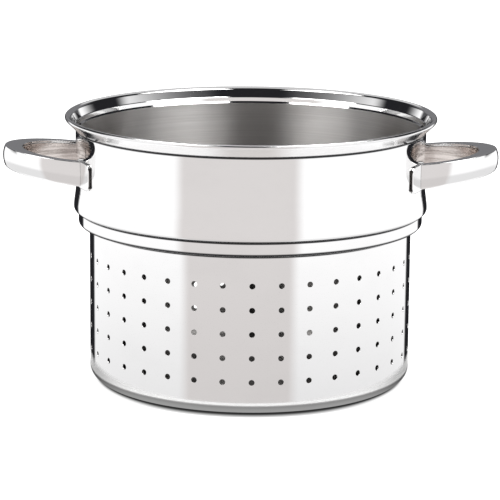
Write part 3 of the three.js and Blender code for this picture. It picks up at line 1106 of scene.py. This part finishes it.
def studio_light(scene, studio):
    """Cards, lamps and black flags that the steel mirrors, and plain white for all else."""
    world = bpy.data.worlds.new("studio_light")
    scene.world = world
    world.use_nodes = True
    tree = world.node_tree
    direction = add_node(tree, "ShaderNodeTexCoord").outputs["Generated"]
    right, rear, up = add_node(tree, "ShaderNodeSeparateXYZ", {"Vector": direction}).outputs
    around = calculate(tree, "ARCTAN2", right, calculate(tree, "MULTIPLY", rear, -1.0))
    turned = calculate(tree, "ABSOLUTE", around)
    above = calculate(tree, "ARCSINE", up)
    height = calculate(tree, "MAXIMUM", up, LOWEST_CEILING)
    across = calculate(tree, "DIVIDE", right, height)
    back = calculate(tree, "DIVIDE", rear, height)

    def below(limit):
        return edge_at(tree, above, *limit)

    def sector(value, limits):
        return between(tree, value, *map(math.radians, limits))

    in_front = between(tree, around, studio.front_left, studio.front_right, studio.card_fade)
    card = product(tree, in_front, below(CARD_TOP))
    low_side = product(tree, below(LOW_SIDE_TOP), sector(around, LOW_SIDE))
    high_side = product(tree, below(HIGH_SIDE_TOP), sector(turned, HIGH_SIDE))
    sides = calculate(tree, "MAXIMUM", low_side, high_side)
    lamps = calculate(tree, "ADD", between(tree, across, *RIGHT_LAMP), between(tree, across, *LEFT_LAMP))
    lamps = product(tree, lamps, between(tree, back, *LAMP_DEPTH), ramp(tree, up, *LAMP_START))
    sky = product(tree, between(tree, back, *SKY_DEPTH), between(tree, across, *SKY_WIDTH))
    sky = product(tree, sky, ramp(tree, up, *SKY_START))
    room = calculate(tree, "SUBTRACT", below(REAR_TOP), below(REAR_FOOT))
    room = product(tree, room, calculate(tree, "SUBTRACT", 1.0, edge_at(tree, turned, *REAR_SIDE)))
    off_middle = ramp(tree, calculate(tree, "ABSOLUTE", right), *UNDER_CARD)
    under = blend(tree, off_middle, studio.front, studio.side)
    light = studio.flag
    layers = ((room, studio.rear), (sky, studio.sky), (sides, studio.side), (lamps, studio.lamp))
    for mask, shade in (*layers, (card, studio.front), (below(UNDER_TOP), under)):
        light = blend(tree, mask, light, shade)
    low = calculate(tree, "SUBTRACT", below(LOW_TOP), below(LOW_FOOT))
    loss = product(tree, low, ramp(tree, card, 0.0, 1.0, *LOW_LOSS))
    strength = calculate(tree, "SUBTRACT", 1.0, loss)
    shown = add_node(tree, "ShaderNodeBackground", {"Color": light, "Strength": strength})
    plain = add_node(tree, "ShaderNodeBackground", {"Color": (1.0, 1.0, 1.0, 1.0), "Strength": 1.0})
    glossy = add_node(tree, "ShaderNodeLightPath").outputs["Is Glossy Ray"]
    mixed = add_node(tree, "ShaderNodeMixShader", {0: glossy, 1: plain.outputs[0], 2: shown.outputs[0]})
    tree.links.new(mixed.outputs[0], tree.nodes["World Output"].inputs["Surface"])


# The floor, by its distance from the base's edge: where a change starts and ends, and its values there
# Painted near the base: a contact shadow in the floor's colour and in its glow for the picture, and a glow
# with painted shade that only the steel mirrors
BASE_EDGE = 105 * MM
SHADE_START = 2.5 * MM
SHADE_GLOW = 0.02
EDGE_GLOW = (2 * MM, 13 * MM, 0.37, 0.25)
CONTACT_GLOW = (-MM, MM, 0.05, 1.0)
NEAR_GLOW = (14 * MM, 16 * MM, 0.0, 0.33)
PALE_FLOOR = (9 * MM, 16 * MM)
CLEAR_FLOOR = (25 * MM, 40 * MM)

# Towards the sides: a power of the sideways part, and how far it narrows the painted shadow or dims the
# painted glow that the steel mirrors
SHADE_NARROWING = (4.0, 3.0)
SIDE_DIMMING = (8.0, -0.85)


def floor_material(studio):
    """A pale floor with a painted contact shadow where the base meets it, and a painted glow near the base
    that only the steel mirrors. Far off it is white, and clear to the steel.
    """
    material = bpy.data.materials.new("pale_floor")
    material.use_nodes = True
    tree = material.node_tree
    tree.nodes.clear()
    rays = add_node(tree, "ShaderNodeLightPath").outputs
    place = add_node(tree, "ShaderNodeTexCoord").outputs["Object"]
    radius = add_node(tree, "ShaderNodeVectorMath", {0: place}, operation="LENGTH").outputs["Value"]
    distance = calculate(tree, "SUBTRACT", radius, BASE_EDGE)
    across = calculate(tree, "DIVIDE", part_of(tree, place, "X"), radius)
    sideways = calculate(tree, "ABSOLUTE", across)

    def to_sides(power, change):
        return calculate(tree, "MULTIPLY_ADD", calculate(tree, "POWER", sideways, power), change, 1.0)

    narrowed = product(tree, distance, to_sides(*SHADE_NARROWING))
    # Painted contact shadow: the floor's glow in the picture fades out towards the base
    glow_with_painted_shadow = ramp(tree, narrowed, SHADE_START, studio.contact_shadow, SHADE_GLOW, studio.floor_glow)
    # Painted glow near the base that only the steel mirrors, dark right at the contact and dimmed towards
    # the sides
    edge = product(tree, ramp(tree, distance, *EDGE_GLOW), ramp(tree, distance, *CONTACT_GLOW))
    mirrored_painted_glow = calculate(tree, "ADD", edge, ramp(tree, distance, *NEAR_GLOW))
    mirrored_painted_glow = product(tree, mirrored_painted_glow, to_sides(*SIDE_DIMMING))
    # Painted contact shadow in the floor's own colour
    base = blend(tree, ramp(tree, distance, *PALE_FLOOR), studio.contact, studio.floor)
    matt = add_node(tree, "ShaderNodeBsdfDiffuse", {"Color": base})
    shown = product(tree, rays["Is Camera Ray"], glow_with_painted_shadow)
    mirrored = product(tree, rays["Is Glossy Ray"], mirrored_painted_glow)
    light = add_node(tree, "ShaderNodeEmission", {"Strength": calculate(tree, "ADD", shown, mirrored)})
    lit = add_node(tree, "ShaderNodeAddShader", {0: matt.outputs[0], 1: light.outputs[0]})
    clear = add_node(tree, "ShaderNodeBsdfTransparent")
    passed = product(tree, rays["Is Glossy Ray"], ramp(tree, distance, *CLEAR_FLOOR))
    mixed = add_node(tree, "ShaderNodeMixShader", {0: passed, 1: lit.outputs[0], 2: clear.outputs[0]})
    add_node(tree, "ShaderNodeOutputMaterial", {"Surface": mixed.outputs[0]})
    return material


def add_floor(studio):
    """The floor under the basket."""
    plane = bpy.ops.mesh.primitive_plane_add
    floor = start_piece("floor", plane, size=studio.floor_size, location=(0, 0, 0))
    floor.data.materials.append(floor_material(studio))


SENSOR = 36.0


def add_camera(scene, studio):
    """A long lens in front, looking slightly down."""
    lens = bpy.data.cameras.new("camera")
    lens.lens = studio.lens
    lens.sensor_width = SENSOR
    camera = bpy.data.objects.new("camera", lens)
    scene.collection.objects.link(camera)
    place = Matrix.Translation((0, -studio.camera_distance, studio.camera_height))
    tilt = Matrix.Rotation(math.pi / 2 - studio.camera_pitch, 4, "X")
    roll = Matrix.Rotation(studio.camera_roll, 4, "Z")
    camera.matrix_world = place @ tilt @ roll
    scene.camera = camera


class PASTAINSERT_OT_studio(bpy.types.Operator):
    """Set up the light, the floor and the camera"""

    bl_idname = "pasta_insert.studio"
    bl_label = "Studio"
    bl_options = {"REGISTER", "UNDO"}

    def execute(self, context):
        scene = context.scene
        studio = scene.studio_settings
        scene.view_settings.view_transform = "Standard"
        studio_light(scene, studio)
        add_floor(studio)
        add_camera(scene, studio)
        return {"FINISHED"}


class PASTAINSERT_PT_panel(bpy.types.Panel):
    """Lists the pieces and their sizes"""

    bl_idname = "PASTAINSERT_PT_panel"
    bl_label = "Pasta Insert"
    bl_space_type = "VIEW_3D"
    bl_region_type = "UI"
    bl_category = "Pasta Insert"

    def draw(self, context):
        column = self.layout.column()
        for operator in OPERATORS:
            column.operator(operator.bl_idname)
        for name in SETTINGS:
            settings = getattr(context.scene, name)
            box = self.layout.box()
            for key in settings.__annotations__:
                box.prop(settings, key)


OPERATORS = (PASTAINSERT_OT_studio, PASTAINSERT_OT_basket, PASTAINSERT_OT_handles, PASTAINSERT_OT_feet)
SETTINGS = {
    "basket_sizes": BasketSizes,
    "handle_sizes": HandleSizes,
    "finish_settings": FinishSettings,
    "studio_settings": StudioSettings,
}


def register():
    for name, group in SETTINGS.items():
        bpy.utils.register_class(group)
        setattr(bpy.types.Scene, name, bpy.props.PointerProperty(type=group))
    for part in (*OPERATORS, PASTAINSERT_PT_panel):
        bpy.utils.register_class(part)


def unregister():
    for part in reversed((*OPERATORS, PASTAINSERT_PT_panel)):
        bpy.utils.unregister_class(part)
    for name, group in reversed(SETTINGS.items()):
        delattr(bpy.types.Scene, name)
        bpy.utils.unregister_class(group)


def main():
    register()
    bpy.ops.pasta_insert.studio()
    bpy.ops.pasta_insert.basket()
    bpy.ops.pasta_insert.handles()
    bpy.ops.pasta_insert.feet()


if __name__ == "__main__":
    main()
